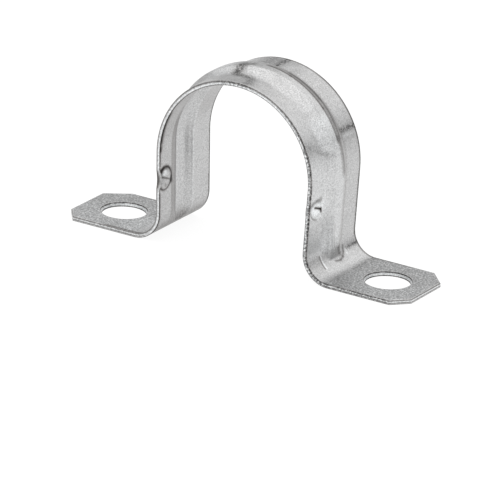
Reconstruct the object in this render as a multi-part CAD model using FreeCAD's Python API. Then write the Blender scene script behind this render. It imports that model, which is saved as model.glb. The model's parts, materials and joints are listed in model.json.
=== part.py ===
import FreeCAD, Part
import math
import os

# A two-hole conduit strap stamped from one piece of zinc-plated steel sheet.
# Millimetres. X runs from foot to foot, Y along the conduit, Z up from the mounting surface.

# Sheet and overall width
sheet = 0.8
width = 16.0

# Arch and legs
saddle_radius = 14.8
arch_centre_height = 16.9
leg_lean = 2.0

# Feet. Each hole stands a little inward of the middle of its flat foot
bend_radius = 4.3
foot_reach = 34.4
hole_offset = -0.25
hole_diameter = 8.2
hole_chamfer = 0.12

# Rib pressed outward round the arch and down both legs. Its front side rises softly to a
# narrow flat top, and its back side falls to a tight root. The offset is the flat's middle.
rib_height = 1.1
rib_offset = -0.45
rib_flat_width = 1.5
rib_front_run = 3.1
rib_back_run = 2.8
rib_front_root_radius = 3.5
rib_back_root_radius = 0.6

# Dimples pressed inward at the front edge of each leg, the left one lower, deeper and nearer the edge
dimple_radius = 1.9
dimple_right_height = 12.7
dimple_right_inset = 1.9
dimple_right_depth = 0.4
dimple_left_height = 11.5
dimple_left_inset = 1.2
dimple_left_depth = 0.65
recess_clearance = 0.05

# Clipped foot corners, measured along X and along Y
clip_right_front_x = 2.7
clip_right_front_y = 2.9
clip_right_back_x = 3.2
clip_right_back_y = 3.5
clip_left_front_x = 2.3
clip_left_front_y = 3.0
clip_left_back_x = 4.3
clip_left_back_y = 3.1

# Rolled-over upper edge left by the blanking die
edge_roll = 0.2

half_width = width / 2
lean = math.radians(leg_lean)
rib_flat_front = rib_offset - rib_flat_width / 2
rib_flat_back = rib_offset + rib_flat_width / 2
rib_front = rib_flat_front - rib_front_run
rib_back = rib_flat_back + rib_back_run

# How far the cutting bodies stand past the sheet, and the least difference that counts as one
cut_margin = 3.0
end_margin = 1.0
tolerance = 0.001


def vec(x, y, z):
    return FreeCAD.Vector(x, y, z)


def arc_edge(start, middle, end):
    return Part.Arc(start, middle, end).toShape()


def line_edge(start, end):
    return Part.LineSegment(start, end).toShape()


# The right leg's own frame: out is its outward normal, down runs down the leg
out = vec(math.cos(lean), 0, -math.sin(lean))
down = vec(-math.sin(lean), 0, -math.cos(lean))
leg_top = vec(0, 0, arch_centre_height) + out * saddle_radius

# The bend's centre lies one bend radius outside the leg and above the foot
bend_top = leg_top + out * (sheet + bend_radius)
leg_length = (bend_top.z - sheet - bend_radius) / math.cos(lean)
bend_centre = bend_top + down * leg_length
bend_sweep = math.pi / 2 - lean


def leg_point(y, n, s):
    """The point at y across the strap, n outward of the leg's inner skin and s down from its top."""
    point = leg_top + out * n + down * s
    return vec(point.x, y, point.z)


def bend_point(radius, share):
    """A point of the bend at a share of the way from leg to foot, in the plane Y = 0."""
    angle = bend_sweep * share
    return bend_centre - out * (radius * math.cos(angle)) + down * (radius * math.sin(angle))


# Cross-section of the rib
def rib_side(offset, place, flat_y, run, root_radius, side):
    """One side of the rib's skin: a concave root arc, then a tangent crown arc up to the flat top.

    Both arcs turn through the same wall angle, which the height and the side's run fix.
    """
    wall_angle = 2 * math.atan(rib_height / run)
    root = root_radius + sheet - offset
    crown = run / math.sin(wall_angle) - root
    root_y = flat_y + side * run

    def root_point(angle):
        return place(root_y - side * root * math.sin(angle), offset + root * (1 - math.cos(angle)))

    def crown_point(angle):
        top = offset + rib_height
        return place(flat_y + side * crown * math.sin(angle), top - crown * (1 - math.cos(angle)))

    root_arc = arc_edge(root_point(0), root_point(wall_angle / 2), root_point(wall_angle))
    crown_arc = arc_edge(crown_point(wall_angle), crown_point(wall_angle / 2), crown_point(0))
    return [root_arc, crown_arc]


def rib_edges(offset, place):
    """The rib's skin from front root to back root, offset outward from the inner skin."""
    front = rib_side(offset, place, rib_flat_front, rib_front_run, rib_front_root_radius, -1)
    back = rib_side(offset, place, rib_flat_back, rib_back_run, rib_back_root_radius, 1)
    top = offset + rib_height
    return front + [line_edge(place(rib_flat_front, top), place(rib_flat_back, top))] + back


def ribbed_section(place):
    """Cross-section of the ribbed sheet. place(y, n) gives the point n outward of the inner skin."""
    edges = rib_edges(sheet, place) + rib_edges(0, place)
    for offset in (0, sheet):
        edges.append(line_edge(place(-half_width, offset), place(rib_front, offset)))
        edges.append(line_edge(place(rib_back, offset), place(half_width, offset)))
    for y in (-half_width, half_width):
        edges.append(line_edge(place(y, 0), place(y, sheet)))
    return Part.Face(Part.Wire(Part.__sortEdges__(edges)))


def leg_section(s):
    return ribbed_section(lambda y, n: leg_point(y, n, s))


def arch():
    """The saddle: the ribbed section turned about the conduit's axis from leg to leg."""
    sweep = 180 + 2 * leg_lean
    return leg_section(0).revolve(vec(0, 0, arch_centre_height), vec(0, -1, 0), sweep)


def leg():
    return leg_section(0).extrude(down * leg_length)


def skin_block(offset, depth, y_half, overrun):
    """All that lies behind the sheet's skin at this offset, from the bend out past the foot."""
    radius = bend_radius + sheet - offset
    start = bend_point(radius, 0)
    end = vec(bend_centre.x, 0, offset)
    corners = [
        end,
        vec(foot_reach + overrun, 0, offset),
        vec(foot_reach + overrun, 0, -depth),
        vec(start.x - depth, 0, -depth),
        start - out * depth,
        start,
    ]
    edges = [arc_edge(start, bend_point(radius, 0.5), end)]
    for first, second in zip(corners, corners[1:]):
        edges.append(line_edge(first, second))
    face = Part.Face(Part.Wire(edges))
    face.translate(vec(0, -y_half, 0))
    return face.extrude(vec(0, 2 * y_half, 0))


def rib_block(offset, depth, length):
    """All that lies behind the rib's skin at this offset, straight on down through the bend."""

    def place(y, n):
        return leg_point(y, n, leg_length)

    behind = [place(rib_back, offset), place(rib_back, -depth), place(rib_front, -depth), place(rib_front, offset)]
    edges = rib_edges(offset, place)
    for first, second in zip(behind, behind[1:]):
        edges.append(line_edge(first, second))
    face = Part.Face(Part.Wire(Part.__sortEdges__(edges)))
    return face.extrude(down * length)


def foot_and_bend():
    """The right foot and bend. The rib runs straight on until the bend overtakes it."""
    outer = skin_block(sheet, cut_margin, half_width, 0)
    outer = outer.fuse(rib_block(sheet, cut_margin - end_margin, bend_radius))
    inner = skin_block(0, cut_margin + 2 * end_margin, half_width + end_margin, end_margin)
    inner = inner.fuse(rib_block(0, cut_margin + end_margin, bend_radius + sheet))
    return outer.cut(inner)


def mirrored(shape):
    return shape.mirror(vec(0, 0, 0), vec(1, 0, 0))


def both_sides(shape):
    return [shape, mirrored(shape)]


strap = arch().multiFuse(both_sides(leg().fuse(foot_and_bend()))).removeSplitter()


# Clipped corners of the feet
def clip_corner(shape, x_side, y_side, along, across):
    """Cut one corner off with a triangle three times its size, through both ends of the cut."""
    tip = vec(x_side * (foot_reach + along), y_side * (half_width + across), -end_margin)
    along_end = tip - vec(x_side * 3 * along, 0, 0)
    across_end = tip - vec(0, y_side * 3 * across, 0)
    wedge = Part.Face(Part.makePolygon([tip, along_end, across_end, tip]))
    return shape.cut(wedge.extrude(vec(0, 0, sheet + 2 * end_margin)))


strap = clip_corner(strap, 1, -1, clip_right_front_x, clip_right_front_y)
strap = clip_corner(strap, 1, 1, clip_right_back_x, clip_right_back_y)
strap = clip_corner(strap, -1, -1, clip_left_front_x, clip_left_front_y)
strap = clip_corner(strap, -1, 1, clip_left_back_x, clip_left_back_y)

# Rolled-over border of the outer skin
def height_in_sheet(point):
    """How far a point lies outward of the sheet's inner skin, away from the rib."""
    flat = vec(abs(point.x), 0, point.z)
    from_axis = flat - vec(0, 0, arch_centre_height)
    if from_axis.dot(down) < 0:
        return from_axis.Length - saddle_radius
    if (flat - leg_top).dot(down) < leg_length:
        return (flat - leg_top).dot(out)
    if flat.x < bend_centre.x:
        return bend_radius + sheet - flat.distanceToPoint(bend_centre)
    return flat.z


def on_border(edge):
    middle = edge.valueAt((edge.FirstParameter + edge.LastParameter) / 2)
    if abs(height_in_sheet(middle) - sheet) > tolerance:
        return False
    at_side = abs(abs(middle.y) - half_width) < tolerance
    return at_side or abs(middle.x) > bend_centre.x + tolerance


border = [edge for edge in strap.Edges if on_border(edge)]
strap = strap.Solids[0].makeFillet(edge_roll, border)


# Screw holes, each with its upper edge broken by a small chamfer
def drill():
    """The right hole's cutting body: a pin that widens from the chamfer's foot upward."""
    foot_middle = (bend_centre.x + foot_reach) / 2
    radius = hole_diameter / 2
    low = vec(foot_middle + hole_offset, 0, -end_margin)
    chamfer_foot = vec(low.x, 0, sheet - hole_chamfer)
    widening = hole_chamfer + end_margin
    pin = Part.makeCylinder(radius, sheet + end_margin, low)
    return pin.fuse(Part.makeCone(radius, radius + widening, widening, chamfer_foot))


for hole in both_sides(drill()):
    strap = strap.cut(hole)


# Dimples
# Each is the cap of a ball struck from outside. The boss inside is the cap of a concentric
# ball one sheet larger, so the sheet keeps its thickness.
def leg_bar(n_low, n_high, s_low, s_high, overrun):
    """A bar across the strap, between two depths in the leg and two distances down it."""
    ends = [(n_low, s_low), (n_high, s_low), (n_high, s_high), (n_low, s_high), (n_low, s_low)]
    outline = Part.makePolygon([leg_point(-half_width - overrun, n, s) for n, s in ends])
    return Part.Face(outline).extrude(vec(0, width + 2 * overrun, 0))


def dimple(height, inset, depth):
    """The boss and the recess of one dimple on the right leg. The recess ball stops short of the rib."""
    ball_radius = (dimple_radius ** 2 + depth ** 2) / (2 * depth)
    boss_radius = ball_radius + sheet
    drop = (leg_top.z - height) / math.cos(lean)
    centre = leg_point(inset - half_width, sheet + ball_radius - depth, drop)
    low = drop - boss_radius
    high = drop + boss_radius
    boss = Part.makeSphere(boss_radius, centre).common(leg_bar(-boss_radius, sheet / 2, low, high, 0))
    recess_bar = leg_bar(0, sheet + recess_clearance, low, high, end_margin)
    return boss, Part.makeSphere(ball_radius, centre).common(recess_bar)


right_pair = dimple(dimple_right_height, dimple_right_inset, dimple_right_depth)
left_pair = [mirrored(body) for body in dimple(dimple_left_height, dimple_left_inset, dimple_left_depth)]
for boss, recess in (right_pair, left_pair):
    strap = strap.fuse(boss).cut(recess)
strap = strap.Solids[0]

os.makedirs("parts", exist_ok=True)
strap.exportStep("parts/strap.step")
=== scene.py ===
import bpy
import bmesh
import json
import math
import numpy as np
from mathutils import Matrix, Vector


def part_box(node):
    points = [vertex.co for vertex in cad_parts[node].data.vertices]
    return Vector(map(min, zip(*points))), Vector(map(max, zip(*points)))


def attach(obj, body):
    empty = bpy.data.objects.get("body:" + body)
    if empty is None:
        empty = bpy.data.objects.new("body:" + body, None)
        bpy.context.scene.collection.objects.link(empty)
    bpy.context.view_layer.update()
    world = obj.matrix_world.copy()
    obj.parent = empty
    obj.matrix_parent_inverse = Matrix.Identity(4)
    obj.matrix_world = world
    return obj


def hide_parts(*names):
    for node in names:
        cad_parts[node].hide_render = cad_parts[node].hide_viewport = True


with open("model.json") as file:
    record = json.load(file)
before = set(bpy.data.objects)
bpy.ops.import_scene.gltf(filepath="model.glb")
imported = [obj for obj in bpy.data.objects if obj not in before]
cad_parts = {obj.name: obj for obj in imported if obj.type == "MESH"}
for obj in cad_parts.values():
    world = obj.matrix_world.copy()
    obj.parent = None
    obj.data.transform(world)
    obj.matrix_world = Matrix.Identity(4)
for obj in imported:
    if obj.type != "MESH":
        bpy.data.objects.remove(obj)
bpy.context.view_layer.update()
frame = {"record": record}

# Sizes are in millimetres. Names that end in _m are in metres, like what Blender's own settings take
MM = 0.001
mounts = {mount["name"]: mount for mount in frame["record"]["mounts"]}
high_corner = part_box("strap")[1]

# Sizes that the frame gives
half_width = high_corner.y / MM
foot_reach = high_corner.x / MM
saddle_radius = mounts["conduit_saddle"]["dims"]["r_mm"]
arch_centre_height = mounts["conduit_saddle"]["pos_m"][2] / MM
hole_radius = mounts["screw_holes"]["dims"]["hole_r_mm"]
hole_x = mounts["screw_holes"]["dims"]["spacing_x_mm"] / 2
sheet = mounts["screw_holes"]["pos_m"][2] / MM
rib_height = high_corner.z / MM - arch_centre_height - saddle_radius - sheet

# Legs and bends
leg_lean = math.radians(2.0)
bend_radius = 4.3

# Rib: a soft front side, a narrow flat top and a tight root behind
rib_offset = -0.45
rib_flat_width = 1.5
rib_front_run = 3.1
rib_back_run = 2.8
rib_front_root_radius = 3.5
rib_back_root_radius = 0.6

# The rib's soft end in the bend: its softness, the depth at which it is over, and the least
# cosine of the turn that counts
rib_end_softness = 0.03
rib_end_depth = -0.5
least_cosine = 0.2

# Dimples of the right side (1) and the left side (-1): height, inset from the front edge and depth
dimples = {1: (12.7, 1.9, 0.4), -1: (11.5, 1.2, 0.65)}
dimple_radius = 1.9
dimple_softness = 0.02

# A dimple's skin is flat beyond this many of its radii. The outer skin is held back by this share
# along the front edge, which the left dimple breaks into, over this width and with this softness
dimple_extent = 1.4
edge_hold = 0.7
edge_hold_width = 0.6
edge_hold_softness = 0.25

# Clipped corners as lengths along X and along Y, front corner first
clips = {1: ((2.7, 2.9), (3.2, 3.5)), -1: ((2.3, 3.0), (4.3, 3.1))}

# Sheared edges: the roll of the upper edge and the small burr below, and for the mesh the angles
# of the points on the roll and the heights of the points on the wall under it
edge_roll = 0.2
edge_break = 0.05
roll_angles = [math.radians(angle) for angle in (22.5, 45, 67.5, 90)]
wall_levels = (0.46, 0.3, 0.14)


# Path of the inner skin, from the top of the arch down to the end of the right bend
def turned(angle):
    """The direction that lies this angle below the way out to the right."""
    return np.array([math.cos(angle), -math.sin(angle)])


leg_out = turned(leg_lean)
leg_down = np.array([-math.sin(leg_lean), -math.cos(leg_lean)])
leg_top = np.array([0, arch_centre_height]) + leg_out * saddle_radius
bend_top = leg_top + leg_out * (sheet + bend_radius)
leg_length = (bend_top[1] - sheet - bend_radius) / math.cos(leg_lean)
bend_centre = bend_top + leg_down * leg_length
bend_sweep = math.pi / 2 - leg_lean
skin_bend_radius = bend_radius + sheet
arch_length = saddle_radius * (math.pi / 2 + leg_lean)
leg_end = arch_length + leg_length
path_length = leg_end + skin_bend_radius * bend_sweep


def path(s):
    """Points of the inner skin, its outward normals and the turn in the bend, for lengths s."""
    s = np.asarray(s, float)
    arch_angle = np.minimum(s, arch_length) / saddle_radius
    arch_normal = np.stack([np.sin(arch_angle), np.cos(arch_angle)], -1)
    on_arch = np.array([0, arch_centre_height]) + arch_normal * saddle_radius
    down_leg = np.clip(s - arch_length, 0, leg_length)
    on_leg = on_arch + down_leg[..., None] * leg_down
    turn = np.maximum(s - leg_end, 0) / skin_bend_radius
    bend_normal = np.cos(turn)[..., None] * leg_out - np.sin(turn)[..., None] * leg_down
    on_bend = bend_centre - bend_normal * skin_bend_radius
    in_bend = (turn > 0)[..., None]
    return np.where(in_bend, on_bend, on_leg), np.where(in_bend, bend_normal, arch_normal), turn


# Relief of the sheet
rib_flat_front = rib_offset - rib_flat_width / 2
rib_flat_back = rib_offset + rib_flat_width / 2
rib_front = rib_flat_front - rib_front_run
rib_back = rib_flat_back + rib_back_run
rib_sides = (
    (-1, rib_flat_front, rib_front_run, rib_front_root_radius),
    (1, rib_flat_back, rib_back_run, rib_back_root_radius),
)


def rib_profile(y, skin):
    """Height of the rib above the flanges, on the outer skin (1) or the inner one (0)."""
    height = np.full(np.shape(y), rib_height)
    for side, flat_y, run, root_radius in rib_sides:
        wall_angle = 2 * math.atan(rib_height / run)
        root = root_radius + sheet * (1 - skin)
        crown = run / math.sin(wall_angle) - root
        crown_reach = crown * math.sin(wall_angle)
        beyond = side * (y - flat_y)
        crown_height = rib_height - crown + np.sqrt(crown ** 2 - np.clip(beyond, 0, crown_reach) ** 2)
        from_root = np.clip(run - beyond, 0, root * math.sin(wall_angle))
        root_height = root - np.sqrt(root ** 2 - from_root ** 2)
        on_side = np.where(beyond < crown_reach, crown_height, root_height)
        height = np.where(beyond > 0, on_side, height)
    return height


def soft_step(value, softness):
    """0 below nought and 1 above it, with a soft change between them."""
    return 0.5 * (1 + np.tanh(value / softness))


def soft_positive(value, softness):
    """The value where it is above nought, and soon 0 below, with a soft corner between them."""
    return 0.5 * (value + np.sqrt(value ** 2 + softness ** 2))


def rib_lift(y, turn, skin):
    """The rib's height. In the bend it runs straight on until the bend overtakes it."""
    profile = rib_profile(y, skin)
    radius = bend_radius + sheet * (1 - skin)
    cosine = np.maximum(np.cos(turn), least_cosine)
    straight_on = radius - (radius - profile) / cosine
    ended = soft_positive(straight_on, rib_end_softness)
    ended = ended - soft_positive(rib_end_depth, rib_end_softness)
    return np.where(turn > 0, np.minimum(ended, profile), profile)


def dimple_place(side):
    """A dimple's middle as a length along the strap and a place across it."""
    height, inset = dimples[side][:2]
    return arch_length + (leg_top[1] - height) / math.cos(leg_lean), inset - half_width


def dimple_sink(s, y, skin, side):
    """Depth of the dimple's ball cap, and of the concentric boss on the inner skin."""
    depth = dimples[side][2]
    middle_s, middle_y = dimple_place(side)
    struck = (dimple_radius ** 2 + depth ** 2) / (2 * depth)
    ball = struck + sheet * (1 - skin)
    distance = np.hypot(s - middle_s, y - middle_y)
    cap = np.sqrt(np.maximum(ball ** 2 - distance ** 2, 0)) - (ball - depth)
    away_from_edge = soft_step(y + half_width - edge_hold_width, edge_hold_softness)
    let_through = 1 - skin * edge_hold * (1 - away_from_edge)
    return soft_positive(cap, dimple_softness) * let_through * (distance < dimple_extent * dimple_radius)


def sheet_points(s, y, share, side):
    """Points of one half, at a share of the sheet's thickness from the inner skin."""
    base, normal, turn = path(s)
    lift = sheet * share
    for skin, weight in ((1, share), (0, 1 - share)):
        lift = lift + weight * (rib_lift(y, turn, skin) - dimple_sink(s, y, skin, side))
    flat = base + normal * lift[..., None]
    return np.stack([side * flat[..., 0], np.broadcast_to(y, lift.shape), flat[..., 1]], -1)


# Grid across and along the strap
def stepped(stops, steps):
    """Values from the first stop to the last, with about the given step between each two."""
    values = [stops[0]]
    for start, end, step in zip(stops, stops[1:], steps):
        count = max(1, round((end - start) / step))
        values.extend(start + (end - start) * (k + 1) / count for k in range(count))
    return np.array(values)


# Places across the skin at which the sheet has points, closer at the rib's roots and corners
skin_edge = half_width - edge_roll
front_stops = [-skin_edge, rib_front - 0.1, rib_front + 0.8, rib_flat_front - 0.3, rib_flat_front + 0.3]
front_steps = [0.16, 0.11, 0.2, 0.1, 0.15]
back_stops = [0, 0.6, 2.3, 3.5, 7.3, skin_edge]
back_steps = [0.1, 0.16, 0.1, 0.25, 0.1]
columns = stepped(front_stops + back_stops, front_steps + back_steps)


def side_stations(side):
    """Lengths along one half at which the sheet has a row of points, closer at dimple and bend."""
    middle = dimple_place(side)[0]
    near = 1.2 * dimple_radius
    stops = [0, arch_length, middle - near, middle + near, leg_end - 0.5, path_length]
    return stepped(stops, [0.31, 0.31, 0.14, 0.31, 0.18])


def rolled(roll, angle):
    """A point on the roll of an upper edge: its distance from the wall, and its share of the sheet."""
    return roll * (1 - math.sin(angle)), 1 - roll / sheet * (1 - math.cos(angle))


def section_loop():
    """The sheet's closed outline across the strap, as y and share of the thickness.

    It also gives the rise of an edge, from the end of the upper skin down to the burr.
    """
    rise = [rolled(edge_roll, angle) for angle in roll_angles]
    rise += [(0, level / sheet) for level in wall_levels]
    rise += [(0, edge_break / sheet)]
    below = (half_width - edge_break) / skin_edge
    loop = [(y, 1) for y in columns]
    loop += [(half_width - inset, share) for inset, share in rise]
    loop += [(y * below, 0) for y in columns[::-1]]
    loop += [(inset - half_width, share) for inset, share in rise[::-1]]
    return np.array(loop), rise


loop, rise = section_loop()
column_count = len(columns)
rise_count = len(rise)
loop_count = len(loop)


class Builder:
    """Collects points and faces of one mesh."""

    def __init__(self):
        self.points = []
        self.faces = []
        self.paint = {"shade": [], "speckle": []}

    def add(self, points, shade, speckle):
        """Adds a row of points, with the tone of each and how far dark specks cover it."""
        first = len(self.points)
        self.points.extend(map(tuple, points))
        for name, value in (("shade", shade), ("speckle", speckle)):
            self.paint[name].extend(np.broadcast_to(value, len(points)).tolist())
        return np.arange(first, first + len(points))

    def strip(self, first, second, closed):
        """Quads between two rows of as many points."""
        count = len(first)
        for k in range(count if closed else count - 1):
            after = (k + 1) % count
            self.faces.append((first[k], first[after], second[after], second[k]))


builder = Builder()

# Tone and specks of an edge's points, from the roll of the upper edge down to the burr: painted shade
# on the roll and along the burr, and on the cut wall a painted highlight over the cut's own brightness.
# Besides the front edge's own tone there is one for the back edge, darker with painted shade, one for
# the front edge where the left dimple pinches it, darker with painted shade, and one for the feet, with
# lines of painted shade and painted highlight down the wall
edge_shade = np.array([0.75, 0.5, 0.45, 0.6, 1.15, 1.8, 1.15, 0.08])
edge_speckle = np.array([0.9, 1.3, 1.5, 1.5, 1.2, 1.1, 1.1, 1.5])
back_edge_shade = np.array([0.4, 0.4, 0.4, 0.5, 0.8, 1.0, 1.0, 0.5])
pinched_edge_shade = np.array([0.3, 0.2, 0.2, 0.2, 0.35, 0.8, 0.85, 0.8])
foot_edge_shade = np.array([0.7, 0.4, 0.5, 1.2, 1.6, 0.3, 1.2, 0.12])
back_edge_wear = 0.5

# How far specks cover the front edge: everywhere, in addition on the right side beyond a length,
# and in addition around the top of the arch
least_wear = 0.3
right_wear = 0.7
right_wear_start = 12
right_wear_softness = 3
top_wear = 0.5
top_wear_middle = -0.5
top_wear_half_length = 3.5

# Half length of the pinched edge, and where the front edge takes the foot's tone before the bend's end
pinch_half_length = 1.7
foot_tone_length = 2.5
foot_tone_softness = 1

# Marks painted in the sheet's own plane: mostly painted shade and painted highlights of creases, edges,
# dimples and reflections, with some marks of forming. A place is a length along the strap from the top
# of the arch, positive to the right, and a distance across it from the middle.
# Strokes: both ends, half thickness, tone, and specks
outer_strokes = (
    # Dark patches over the top of the arch, partly forming marks and partly painted shade of reflections
    (-2.8, -3.2, -2.8, -1.3, 1.0, 0.62, 1.4),
    (-2.2, -4.0, 0.2, -4.5, 0.6, 0.75, 1.2),
    (-2.2, -1.0, -1.2, -0.6, 0.4, 0.65, 1.0),
    (0.9, -4.8, 1.5, -6.6, 0.8, 0.95, 0.95),
    (1.4, -6.6, 1.0, -8.0, 0.7, 0.9, 0.85),
    (0.5, 3.3, 0.5, 7.4, 0.6, 0.75, 1.4),
    (-1.8, 3.4, -1.8, 7.0, 1.8, 1.0, 0.8),
    # Painted shade along the rib's crest and its back root
    (0.8, 0.25, 5.0, 0.25, 0.2, 0.3, 0.3),
    (5.0, 0.25, 12.0, 0.25, 0.22, 0.3, 0.3),
    (12.0, 0.25, 17.5, 0.15, 0.2, 0.4, 0.3),
    (4.5, 1.1, 10.5, 1.3, 0.45, 0.4, 0.3),
    (10.5, 1.35, 17.2, 1.2, 0.22, 0.45, 0.3),
    (17.2, 0.7, 22.5, 0.75, 0.6, 0.6, 0.4),
    # Painted shade and a painted highlight of wrinkles over the right shoulder, with specks
    (16.4, 3.3, 16.5, 7.3, 0.45, 0.8, 1.3),
    (17.4, 3.3, 17.5, 7.3, 0.25, 1.2, 0.0),
    (15.9, -8.0, 17.9, -4.5, 0.7, 1.0, 0.45),
    (17.9, -4.5, 19.0, -2.4, 0.4, 0.95, 0.7),
    # Witness lines where the rib runs out into the bend, as painted shade and painted highlights of
    # creases
    (31.3, -1.1, 34.7, -0.86, 0.14, 0.75, 0.0),
    (34.7, -0.86, 37.0, -0.14, 0.14, 0.75, 0.0),
    (36.7, 0.9, 38.2, 1.6, 0.6, 0.55, 0.8),
    (39.2, -0.4, 39.5, 0.9, 0.25, 0.5, 0.5),
    (39.5, 0.9, 39.1, 2.0, 0.25, 0.5, 0.5),
    (39.1, 2.0, 38.3, 2.8, 0.22, 0.5, 0.5),
    (38.3, 2.8, 37.0, 3.35, 0.2, 0.55, 0.5),
    (37.8, 3.7, 39.0, 3.55, 0.16, 1.5, 0.0),
    (37.0, -3.8, 39.7, -3.75, 0.17, 1.6, 0.0),
    (36.8, -4.2, 39.6, -4.2, 0.15, 0.4, 0.3),
    # Dark lines across the right bend, partly strain marks and partly painted shade of reflections
    (37.8, 4.2, 37.8, 8.0, 0.35, 0.8, 1.3),
    (43.0, 1.0, 43.0, 8.0, 0.9, 0.95, 0.9),
    (43.2, -8.0, 43.2, 1.0, 1.2, 0.97, 0.7),
    (44.6, -8.0, 44.4, -6.0, 0.9, 0.85, 0.8),
    # Painted shade along the far edge, broken by specks
    (7.0, 7.85, 25.0, 7.85, 0.25, 0.7, 1.1),
    (25.0, 7.85, 36.0, 7.85, 0.35, 0.5, 1.5),
    # Painted shade along the left foot's rim beside the bend
    (-48.5, -7.85, -41.5, -7.85, 0.4, 0.12, 0.8),
    # Painted shade on the right dimple's upper side, and a small bent black mark in it
    (26.35, -7.4, 25.95, -4.7, 0.5, 0.5, 0.3),
    (27.3, -5.8, 27.75, -4.4, 0.24, 0.0, 0.0),
    (27.75, -4.4, 28.3, -4.3, 0.24, 0.0, 0.0),
)
inner_strokes = (
    # Painted shade along the left dimple's ridge and at its end, and a painted highlight on its upper
    # side
    (-27.95, -7.9, -29.3, -4.6, 0.17, 0.3, 0.3),
    (-27.6, -7.4, -27.3, -6.6, 0.4, 2.0, 0.0),
    (-29.3, -7.0, -30.0, -6.6, 0.2, 0.7, 0.0),
    (-29.0, -4.6, -29.6, -4.4, 0.45, 0.03, 0.3),
    # The shaded start of the left bend
    (-38.8, -8.0, -38.8, 8.0, 1.8, 0.5, 0.6),
    # Painted shade along the far edge, broken by specks
    (-41.0, 7.8, -32.0, 7.8, 0.35, 0.45, 1.5),
    (-32.0, 7.8, -12.0, 7.8, 0.25, 0.7, 1.1),
    # Painted shade along the burr on the left leg
    (-26.0, -7.8, -12.0, -7.8, 0.3, 0.5, 0.5),
    (-21.8, -7.7, -16.2, -7.75, 0.6, 0.02, 0.0),
    (-22.9, -7.7, -23.3, -7.7, 0.5, 0.03, 0.0),
    (-42.0, -7.8, -31.2, -7.8, 0.22, 0.35, 0.8),
)

# Bands: first and last length, first and last place across, softness along and across, and tone
outer_bands = (
    # Painted shade on the rib's back side and its root
    (0.3, 17.4, 0.35, 3.05, 1.2, 0.05, 0.68),
    (17.4, 36.0, 0.8, 3.05, 1.2, 0.08, 0.9),
    (0.0, 36.0, 3.1, 3.45, 1.0, 0.06, 0.8),
    # Painted light and painted shade of reflections on the rib's front side and the front flange, over
    # the arch and down the right leg
    (-9.0, -3.8, -4.0, -0.3, 1.0, 0.4, 1.2),
    (5.0, 18.4, -4.2, 0.3, 2.5, 0.3, 1.05),
    (13.0, 18.4, -4.0, 0.3, 0.6, 0.3, 1.3),
    (13.0, 18.4, -9.0, -4.2, 1.0, 0.3, 1.1),
    (18.4, 33.0, -8.0, 0.8, 0.5, 0.3, 1.17),
    (2.0, 9.0, -9.0, 0.3, 1.5, 0.3, 0.92),
    (28.0, 41.0, -9.0, -4.3, 2.0, 0.3, 0.9),
    # Painted shade on the back flange beyond the top of the arch
    (3.0, 10.0, 3.4, 9.0, 1.5, 0.1, 0.94),
    # Painted light on the left bend and the front half of both feet
    (-47.0, -41.5, -8.0, 0.0, 1.0, 1.0, 1.2),
    (-60.0, -47.0, -9.0, 1.0, 1.0, 1.0, 1.1),
    (42.0, 60.0, -9.0, 1.0, 1.0, 1.0, 1.09),
    # Painted light on the lower end of the right leg
    (33.0, 36.4, -8.5, 0.3, 0.7, 0.5, 1.31),
    # Painted shade along the far edge
    (-50.0, 50.0, 7.45, 9.0, 1.0, 0.08, 0.45),
)
inner_bands = (
    # Painted shade and painted light on the rib and the flanges beside it, in the left leg and the arch,
    # with a painted highlight along the rib's back root
    (-37.0, -16.0, -4.3, -1.2, 2.0, 0.05, 0.62),
    (-21.0, -1.0, -9.0, -1.2, 1.5, 0.3, 0.78),
    (-20.0, -1.0, 2.6, 9.0, 1.5, 0.2, 0.8),
    (-37.0, -21.0, -9.0, -4.3, 1.5, 0.1, 0.93),
    (-37.0, -16.0, -1.2, 2.5, 2.0, 0.1, 1.07),
    (-37.0, -10.0, 2.5, 2.8, 2.0, 0.06, 1.2),
    # Painted shade along the front edge below and above the left dimple
    (-50.0, -30.6, -9.0, -7.75, 0.2, 0.06, 0.4),
    (-26.8, 50.0, -9.0, -7.75, 0.2, 0.06, 0.4),
    # Painted shade on the left bend, and along the far edge
    (-46.0, -37.5, -9.0, 9.0, 1.5, 1.0, 0.88),
    (-50.0, 50.0, 7.5, 9.0, 1.0, 0.06, 0.45),
)

# A dimple's outline and floor, in painted shade and a painted highlight, on the skin that shows them,
# the outer one (1) or the inner one (0)
shown_skin = {1: 1, -1: 0}

# The inset of their middle from the front edge, and arcs around it: angle from the way down the leg
# and half spread in degrees, radius, half thickness and tone
dimple_arcs = {
    1: (2.5, ((-50, 50, 1.95, 0.2, 0.5), (0, 180, 0.0, 1.6, 1.65))),
    -1: (1.65, ((0, 180, 2.05, 0.22, 0.1), (180, 60, 2.0, 0.32, 0.25), (20, 60, 1.2, 0.4, 0.8))),
}
arc_softness = 12


def marked(along, y, strokes, bands):
    """Tone and specks that the strokes and bands leave on points of the sheet."""
    shade = np.ones(np.broadcast(along, y).shape)
    speckle = np.zeros(shade.shape)
    for first, first_y, last, last_y, half, tone, specks in strokes:
        run = np.array([last - first, last_y - first_y])
        share = ((along - first) * run[0] + (y - first_y) * run[1]) / (run @ run)
        share = np.clip(share, 0, 1)
        distance = np.hypot(along - first - share * run[0], y - first_y - share * run[1])
        weight = np.exp(-(distance / half) ** 2)
        shade = shade * (1 + (tone - 1) * weight)
        speckle = np.maximum(speckle, specks * weight)
    for first, last, low, high, softness, crispness, tone in bands:
        inside = soft_step(along - first, softness) * soft_step(last - along, softness)
        inside = inside * soft_step(y - low, crispness) * soft_step(high - y, crispness)
        shade = shade * (1 + (tone - 1) * inside)
    return shade, speckle


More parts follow.
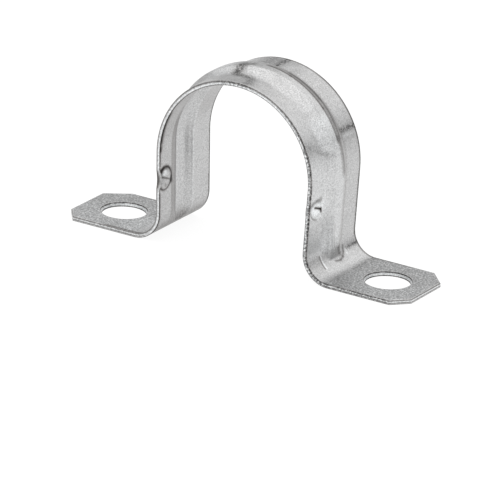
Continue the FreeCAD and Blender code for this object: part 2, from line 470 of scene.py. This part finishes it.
def dimple_shade(s, y, side):
    """Painted shade on a dimple's outline, and a painted highlight on its floor, on points of the skin
    that shows them.
    """
    inset, arcs = dimple_arcs[side]
    middle_s = dimple_place(side)[0]
    middle_y = inset - half_width
    distance = np.hypot(s - middle_s, y - middle_y)
    angle = np.degrees(np.arctan2(y - middle_y, s - middle_s))
    shade = 1
    for middle, spread, radius, half, tone in arcs:
        aside = np.abs((angle - middle + 180) % 360 - 180)
        weight = np.exp(-((distance - radius) / half) ** 2) * soft_step(spread - aside, arc_softness)
        shade = shade * (1 + (tone - 1) * weight)
    return shade


def skin_paint(s, y, side, skin):
    """Tone and specks of points on the outer skin (1) or the inner one (0)."""
    strokes, bands = (outer_strokes, outer_bands) if skin else (inner_strokes, inner_bands)
    shade, speckle = marked(side * s, y, strokes, bands)
    if skin == shown_skin[side]:
        shade = shade * dimple_shade(s, y, side)
    return shade, speckle


def stretch(along, middle, half_length):
    """1 on a stretch of the strap and 0 beyond it, with soft ends."""
    return math.exp(-((along - middle) / half_length) ** 4)


def loop_paint(s, side):
    """Tone and specks of the whole outline of the sheet at length s."""
    along = side * s
    outer, outer_specks = skin_paint(s, columns, side, 1)
    inner, inner_specks = skin_paint(s, columns[::-1], side, 0)
    worn = least_wear + right_wear * soft_step(along - right_wear_start, right_wear_softness)
    worn = worn + top_wear * stretch(along, top_wear_middle, top_wear_half_length)
    pinch = stretch(along, -dimple_place(-1)[0], pinch_half_length)
    front_edge = edge_shade + (pinched_edge_shade - edge_shade) * pinch
    at_foot = soft_step(s - path_length + foot_tone_length, foot_tone_softness)
    front_edge = front_edge + (foot_edge_shade - front_edge) * at_foot
    shade = np.concatenate([outer, back_edge_shade, inner, front_edge[::-1]])
    back_specks = back_edge_wear * edge_speckle
    front_specks = worn * edge_speckle[::-1]
    return shade, np.concatenate([outer_specks, back_specks, inner_specks, front_specks])


# Arch, legs and bends, from the left foot over the arch to the right foot
rows = []
for side in (-1, 1):
    stations = side_stations(side)
    stations = stations[::-1] if side < 0 else stations[1:]
    for s in stations:
        row = sheet_points(np.full(loop_count, s), loop[:, 0], loop[:, 1], side)
        rows.append(builder.add(row, *loop_paint(s, side)))
for first, second in zip(rows, rows[1:]):
    builder.strip(first, second, closed=True)

# Feet
foot_start = bend_centre[0]

# Points along the front side, its clip, the end, the back clip and the back side
foot_edge_counts = (30, 10, 26, 12, 30)

# Shares of the way from the hole to the outline at which a foot has rings, closer at both
ring_shares = stepped([0, 0.25, 0.75, 1], [0.05, 0.1, 0.06])[1:-1]

# A hole's roll, with its share of the edge's tone, darker with painted shade, and the wall under it:
# height, reach inward, tone and specks. The wall's tone is a painted highlight over painted shade at its
# foot
hole_roll = 0.1
hole_roll_tone = 0.7
hole_wall = (
    (0.5, 0.03, 1.8, 0.3),
    (0.34, 0.09, 1.6, 0.3),
    (0.24, 0.13, 1.7, 0.3),
    (0.17, 0.16, 0.35, 1.2),
    (edge_break, 0.2, 0.1, 1.2),
)

# Tone and least specks of the flat skins, and tone and specks of the burr, dark with painted shade
foot_tone = 1.18
foot_speckle = 0.8
burr_shade = 0.2
burr_speckle = 1.0

# How far specks cover a foot's edge, less at its end, and how much paler the edge is at the back
foot_wear = {1: 0.8, -1: 0.45}
foot_end_length = 2.7
foot_end_softness = 0.4
foot_end_spared = 0.8
far_side_width = 0.5
far_side_softness = 0.2
far_side_paleness = 0.7


def foot_edge(side, inset):
    """The three free sides of a foot with their clipped corners, from front to back."""
    (front_x, front_y), (back_x, back_y) = clips[side]
    end = foot_reach - inset
    across = half_width - inset

    def set_in(along, over):
        """Shortens a clip so that its sloping side also moves in by the inset."""
        slope = math.hypot(along, over)
        shift = inset * (along + over - slope) / (along * over)
        return along * (1 - shift), over * (1 - shift)

    front_x, front_y = set_in(front_x, front_y)
    back_x, back_y = set_in(back_x, back_y)
    corners = [
        (foot_start, -across),
        (end - front_x, -across),
        (end, front_y - across),
        (end, across - back_y),
        (end - back_x, across),
        (foot_start, across),
    ]
    points = [corners[0]]
    for (x0, y0), (x1, y1), count in zip(corners, corners[1:], foot_edge_counts):
        for k in range(count):
            share = (k + 1) / count
            points.append((x0 + (x1 - x0) * share, y0 + (y1 - y0) * share))
    return np.array(points)


def foot(side, row):
    """One foot: rings from the screw hole out to the edge, on both skins, and all its edges."""
    top_line = row[:column_count]
    back_side = row[column_count:column_count + rise_count]
    bottom_line = row[column_count + rise_count:2 * column_count + rise_count]
    front_side = row[2 * column_count + rise_count:][::-1]

    def level(points, share):
        height = np.full(len(points), sheet * share)
        return np.stack([points[:, 0] * side, points[:, 1], height], -1)

    def edge_row(inset, share, front, back, shade, speckle):
        """A row of points around the free sides, between two points of the bend's last row."""
        points = foot_edge(side, inset)[1:-1]
        on_far_side = soft_step(points[:, 1] - half_width + far_side_width, far_side_softness)
        at_end = soft_step(points[:, 0] - foot_reach + foot_end_length, foot_end_softness)
        tone = 1 - (1 - shade) * (1 - far_side_paleness * on_far_side)
        worn = foot_wear[side] * (1 - foot_end_spared * at_end)
        inner = builder.add(level(points, share), tone, worn * speckle)
        return np.concatenate([[front], inner, [back]])

    rim = foot_edge(side, edge_roll)[1:-1]
    rim_paint = skin_paint(path_length + rim[:, 0] - foot_start, rim[:, 1], side, 1)
    top_edge = edge_row(edge_roll, 1, top_line[0], top_line[-1], *rim_paint)
    layers = [top_edge]
    steps_down = zip(rise, front_side, back_side, foot_edge_shade, edge_speckle)
    for (inset, share), front, back, shade, speckle in steps_down:
        layers.append(edge_row(inset, share, front, back, shade, speckle))
    bottom_edge = edge_row(edge_break, 0, bottom_line[-1], bottom_line[0], burr_shade, burr_speckle)
    layers.append(bottom_edge)
    for first, second in zip(layers, layers[1:]):
        builder.strip(first, second, closed=False)

    def outline(inset, scale):
        """The foot's closed outline: its free sides, then the line along the bend."""
        bend_line = np.stack([np.full(column_count - 2, foot_start), columns[-2:0:-1] * scale], -1)
        return np.concatenate([foot_edge(side, inset), bend_line])

    centre = np.array([hole_x, 0])
    ray = outline(0, 1) - centre
    ray /= np.linalg.norm(ray, axis=1)[:, None]

    def hole_ring(radius, share, shade=1.0, speckle=0.0):
        return builder.add(level(centre + ray * radius, share), shade, speckle)

    rings = [hole_ring(hole_radius + hole_roll, 1)]
    for angle, shade, speckle in zip(roll_angles, edge_shade, edge_speckle):
        outward, share = rolled(hole_roll, angle)
        rings.append(hole_ring(hole_radius + outward, share, hole_roll_tone * shade, speckle))
    for height, inward, shade, speckle in hole_wall:
        rings.append(hole_ring(hole_radius - inward, height / sheet, shade, speckle))
    rings.append(hole_ring(hole_radius + edge_break, 0))
    for first, second in zip(rings, rings[1:]):
        builder.strip(first, second, closed=True)

    top_row = np.concatenate([top_edge, top_line[-2:0:-1]])
    bottom_row = np.concatenate([bottom_edge, bottom_line[1:-1]])
    skins = (
        (rings[0], top_row, hole_radius + hole_roll, 1, edge_roll),
        (rings[-1], bottom_row, hole_radius + edge_break, 0, edge_break),
    )
    for inner_row, outer_row, radius, skin, inset in skins:
        outer = outline(inset, (half_width - inset) / skin_edge)
        start = centre + ray * radius
        previous = inner_row
        for ring_share in ring_shares:
            points = start + (outer - start) * ring_share
            beyond = path_length + points[:, 0] - foot_start
            shade, speckle = skin_paint(beyond, points[:, 1], side, skin)
            speckle = np.maximum(speckle, foot_speckle)
            ring = builder.add(level(points, skin), shade * foot_tone, speckle)
            builder.strip(previous, ring, closed=True)
            previous = ring
        builder.strip(previous, outer_row, closed=True)


foot(-1, rows[0])
foot(1, rows[-1])

# The mesh
sharp_angle = math.radians(50)
mesh = bpy.data.meshes.new("pressed_strap")
mesh.from_pydata([(x * MM, y * MM, z * MM) for x, y, z in builder.points], [], builder.faces)
shell = bmesh.new()
shell.from_mesh(mesh)
bmesh.ops.recalc_face_normals(shell, faces=shell.faces)
shell.to_mesh(mesh)
shell.free()
for name, values in builder.paint.items():
    mesh.attributes.new(name, "FLOAT", "POINT").data.foreach_set("value", values)
mesh.shade_smooth()
mesh.set_sharp_from_angle(angle=sharp_angle)
strap = bpy.data.objects.new("pressed_strap", mesh)
bpy.context.scene.collection.objects.link(strap)


# Materials
def map_range(tree, value, source, target, interpolation="LINEAR"):
    """Maps a value from one range to another, each given as its low and high end."""
    node = tree.nodes.new("ShaderNodeMapRange")
    node.interpolation_type = interpolation
    node.inputs["From Min"].default_value, node.inputs["From Max"].default_value = source
    node.inputs["To Min"].default_value, node.inputs["To Max"].default_value = target
    tree.links.new(value, node.inputs["Value"])
    return node.outputs["Result"]


# Zinc plate: depth of its grain and of its slight waves, and the strength of each as a bump
grain_depth_m = 0.00003
grain_strength = 0.35
wave_depth_m = 0.0001
wave_strength = 0.3

# The middle range of a noise, which the tones and the roughness are spread over
noise_range = (0.3, 0.7)

# The power of the painted tone that each channel takes as well, so that dark places are warmer
warmths = (("Red", 0), ("Green", 0.04), ("Blue", 0.06))


def zinc_material():
    """Zinc plate: grain, mottle and dark specks, under the tone and specks painted on the points, whose
    tone holds painted shade and painted highlights.
    """
    material = bpy.data.materials.new("zinc_plate")
    material.use_nodes = True
    nodes = material.node_tree.nodes
    links = material.node_tree.links
    shader = nodes["Principled BSDF"]
    shader.inputs["Metallic"].default_value = 1.0
    coordinates = nodes.new("ShaderNodeTexCoord")

    def noise(scale, detail, roughness):
        node = nodes.new("ShaderNodeTexNoise")
        node.inputs["Scale"].default_value = scale
        node.inputs["Detail"].default_value = detail
        node.inputs["Roughness"].default_value = roughness
        links.new(coordinates.outputs["Object"], node.inputs["Vector"])
        return node.outputs["Fac"]

    def ranged(value, source, target):
        return map_range(material.node_tree, value, source, target)

    def maths(operation, first, second):
        node = nodes.new("ShaderNodeMath")
        node.operation = operation
        for socket, value in zip(node.inputs, (first, second)):
            if isinstance(value, (int, float)):
                socket.default_value = value
            else:
                links.new(value, socket)
        return node.outputs["Value"]

    def painted(name):
        node = nodes.new("ShaderNodeAttribute")
        node.attribute_name = name
        return node.outputs["Fac"]

    def bumped(height, strength, depth_m):
        node = nodes.new("ShaderNodeBump")
        node.inputs["Strength"].default_value = strength
        node.inputs["Distance"].default_value = depth_m
        links.new(height, node.inputs["Height"])
        return node

    grain = noise(scale=4200, detail=2, roughness=0.7)
    mottle = noise(scale=620, detail=4, roughness=0.6)
    specks = ranged(noise(scale=2500, detail=3, roughness=0.75), (0.45, 0.53), (0, 1))
    tone = ranged(grain, noise_range, (0.365, 0.675))
    tone = maths("MULTIPLY", tone, ranged(mottle, noise_range, (0.93, 1.06)))
    # The painted tone: painted shade and painted highlights, with some marks of forming
    tone = maths("MULTIPLY", tone, painted("shade"))
    covered = maths("MULTIPLY", painted("speckle"), specks)
    tone = maths("MULTIPLY", tone, ranged(covered, (0, 1.5), (1.0, 0.1)))
    colour = nodes.new("ShaderNodeCombineColor")
    for channel, warmth in warmths:
        tint = maths("POWER", painted("shade"), warmth)
        links.new(maths("MULTIPLY", tone, tint), colour.inputs[channel])
    links.new(colour.outputs["Color"], shader.inputs["Base Color"])
    links.new(ranged(mottle, noise_range, (0.30, 0.42)), shader.inputs["Roughness"])
    fine = bumped(grain, grain_strength, grain_depth_m)
    coarse = bumped(mottle, wave_strength, wave_depth_m)
    links.new(coarse.outputs["Normal"], fine.inputs["Normal"])
    links.new(fine.outputs["Normal"], shader.inputs["Normal"])
    return material


strap.data.materials.append(zinc_material())
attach(strap, "root")
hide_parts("strap")

# Floor, lit a little from within like a photographer's table, so that its shadows stay faint
floor_half_m = 3.0
floor_tone = 0.12
floor_glow = 0.9
floor_roughness = 0.9


def make_floor():
    half = floor_half_m
    corners = [(-half, -half, 0), (half, -half, 0), (half, half, 0), (-half, half, 0)]
    floor_mesh = bpy.data.meshes.new("floor")
    floor_mesh.from_pydata(corners, [], [(0, 1, 2, 3)])
    floor = bpy.data.objects.new("floor", floor_mesh)
    bpy.context.scene.collection.objects.link(floor)
    material = bpy.data.materials.new("floor_paint")
    material.use_nodes = True
    shader = material.node_tree.nodes["Principled BSDF"]
    shader.inputs["Base Color"].default_value = (floor_tone, floor_tone, floor_tone, 1)
    shader.inputs["Roughness"].default_value = floor_roughness
    shader.inputs["Emission Color"].default_value = (1, 1, 1, 1)
    shader.inputs["Emission Strength"].default_value = floor_glow
    floor.data.materials.append(material)


make_floor()


# Light
def make_overhead(place_m, aim_m, width_m, watts):
    """A wide square light over the strap."""
    data = bpy.data.lights.new("overhead", "AREA")
    data.shape = "RECTANGLE"
    data.size = width_m
    data.size_y = width_m
    data.energy = watts
    light = bpy.data.objects.new("overhead", data)
    light.location = place_m
    light.rotation_euler = (Vector(aim_m) - Vector(place_m)).to_track_quat("-Z", "Y").to_euler()
    bpy.context.scene.collection.objects.link(light)


make_overhead(place_m=(-0.1, -0.1, 1.2), aim_m=(0, 0, 0.02), width_m=2.2, watts=8)

# Light and dark cards around the strap: azimuth from +Y towards +X, elevation and half angle in
# degrees, and strength
cards = (
    (12, 38, 30, 0.34),
    (34, 24, 16, 0.25),
    (-30, 20, 14, -0.2),
)

# The room's strength at the horizon and from this height of a direction upward
room_low = 0.55
room_high = 0.95
room_high_from = 0.6


def make_studio():
    """A pale room, darker at the horizon, with cards that only the reflections show."""
    world = bpy.data.worlds.new("studio")
    world.use_nodes = True
    nodes = world.node_tree.nodes
    links = world.node_tree.links
    direction = nodes.new("ShaderNodeTexCoord").outputs["Generated"]
    split = nodes.new("ShaderNodeSeparateXYZ")
    links.new(direction, split.inputs["Vector"])

    def smoothly(value, source, target):
        return map_range(world.node_tree, value, source, target, "SMOOTHSTEP")

    total = smoothly(split.outputs["Z"], (0, room_high_from), (room_low, room_high))
    for card in cards:
        azimuth, elevation, half_angle = [math.radians(angle) for angle in card[:3]]
        strength = card[3]
        flat = math.cos(elevation)
        middle = (math.sin(azimuth) * flat, math.cos(azimuth) * flat, math.sin(elevation))
        aim = nodes.new("ShaderNodeVectorMath")
        aim.operation = "DOT_PRODUCT"
        aim.inputs[1].default_value = middle
        links.new(direction, aim.inputs[0])
        near = smoothly(aim.outputs["Value"], (math.cos(half_angle), 1), (0, strength))
        add = nodes.new("ShaderNodeMath")
        links.new(total, add.inputs[0])
        links.new(near, add.inputs[1])
        total = add.outputs["Value"]
    links.new(total, nodes["Background"].inputs["Color"])
    bpy.context.scene.world = world


make_studio()
bpy.context.scene.view_settings.view_transform = "Standard"


# Camera, as solved from the photo, with its focal length in pixels of an image of this width
def make_camera():
    azimuth = math.radians(31.2)
    elevation = math.radians(21.04)
    roll = math.radians(2.59)
    distance = 1028.96
    target = Vector((-0.85, 0, -0.07))
    lens_pixels = 6000
    image_width = 500
    flat = math.cos(elevation)
    back = Vector((math.sin(azimuth) * flat, -math.cos(azimuth) * flat, math.sin(elevation)))
    level_right = Vector((math.cos(azimuth), math.sin(azimuth), 0))
    level_up = back.cross(level_right)
    right = level_right * math.cos(roll) + level_up * math.sin(roll)
    up = level_up * math.cos(roll) - level_right * math.sin(roll)
    data = bpy.data.cameras.new("camera")
    data.sensor_width = 36
    data.lens = lens_pixels * data.sensor_width / image_width
    data.clip_start = 0.05
    data.clip_end = 20
    camera = bpy.data.objects.new("camera", data)
    axes = Matrix((right, up, back)).transposed().to_4x4()
    camera.matrix_world = Matrix.Translation((target + back * distance) * MM) @ axes
    bpy.context.scene.collection.objects.link(camera)
    bpy.context.scene.camera = camera


make_camera()
